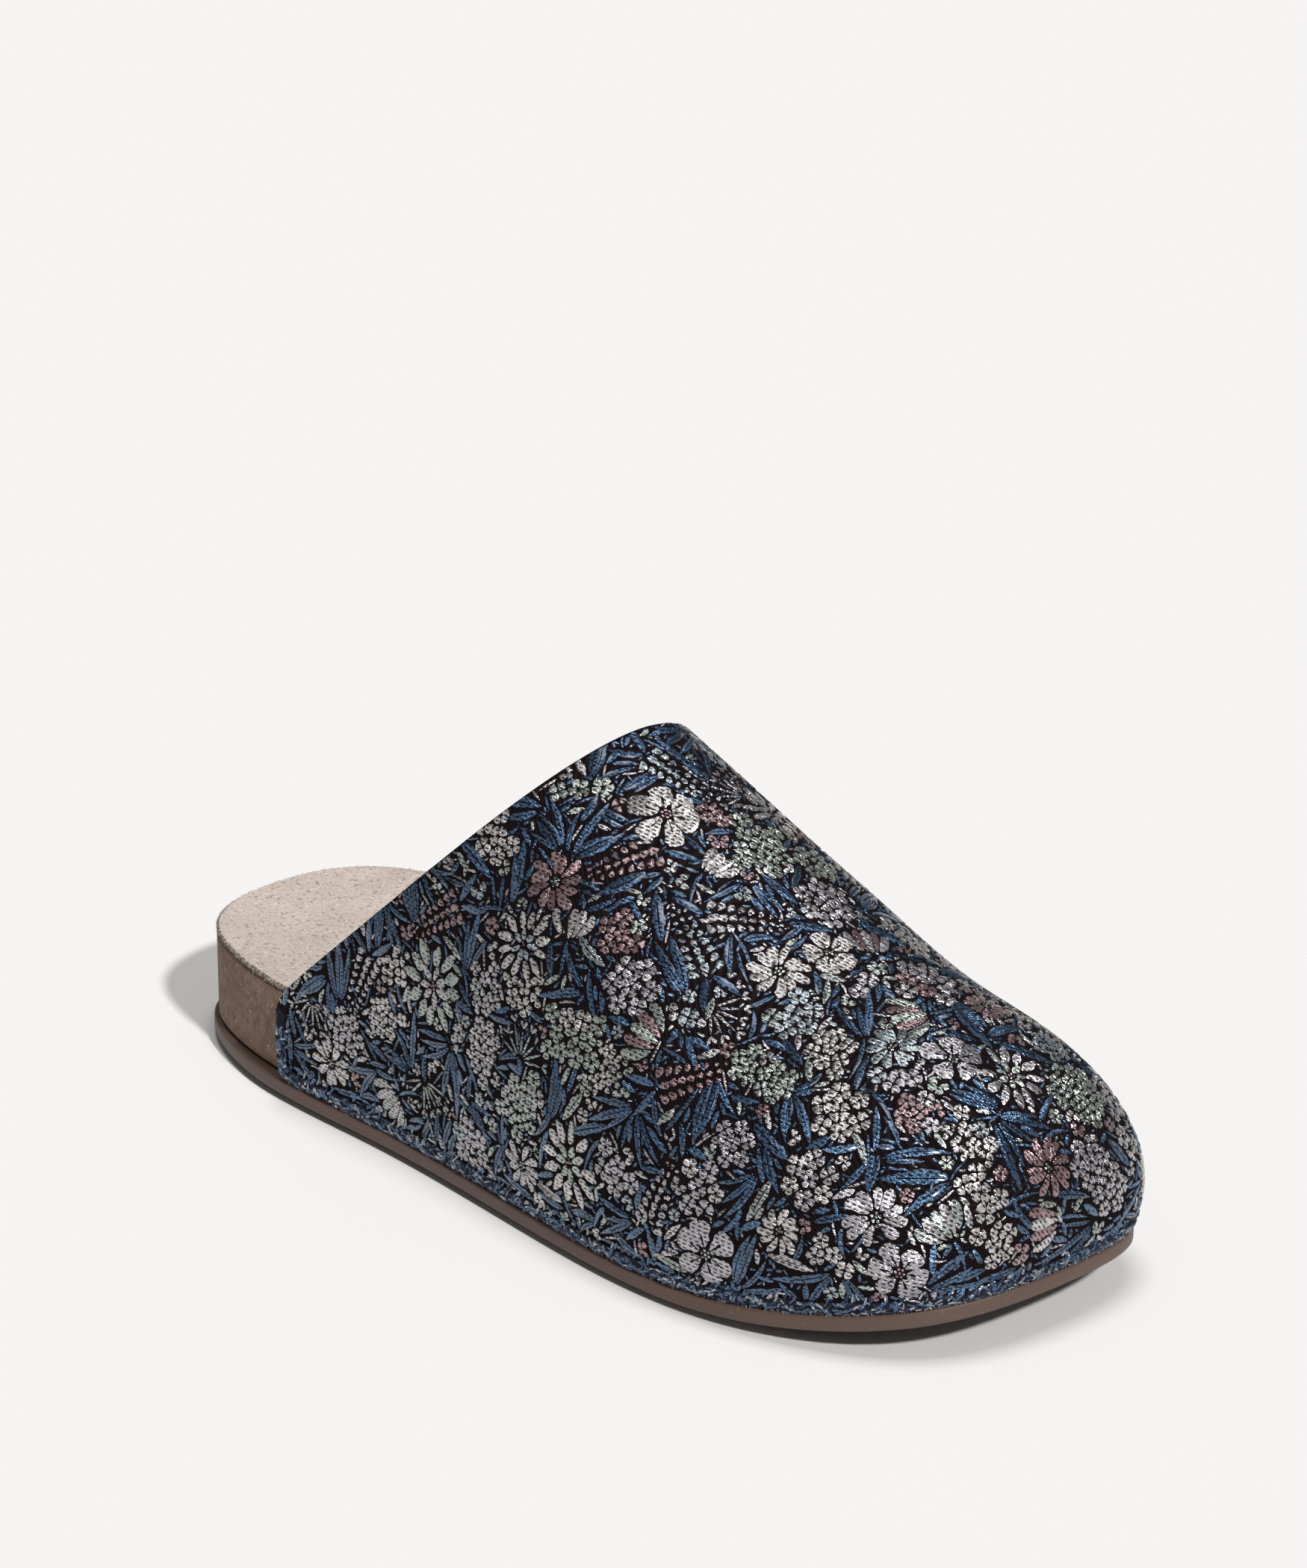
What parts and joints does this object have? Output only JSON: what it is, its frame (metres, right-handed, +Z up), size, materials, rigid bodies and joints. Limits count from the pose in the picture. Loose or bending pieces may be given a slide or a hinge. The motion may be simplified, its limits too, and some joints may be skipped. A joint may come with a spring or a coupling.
{
  "type": "clog mule",
  "caption": "Closed-toe slip-on mule with an open heel: a woven patterned upper on a contoured cork footbed with a suede sock and a thin rubber outsole.",
  "frame": {"origin": "on the floor, under the middle of the shoe's length and width", "axes": "+X along the foot towards the toe, +Y across towards the medial (big toe) side, +Z up"},
  "size_m": [0.262, 0.1024, 0.1068],
  "materials": {
    "outsole": "matt",
    "midsole": "fine cork granules, matt",
    "insole": "suede",
    "upper": "woven jacquard with satin threads"
  },
  "bodies": {
    "root": {"outsole": "outsole", "midsole": "midsole", "insole": "insole", "upper": "upper"}
  },
  "joints": []
}
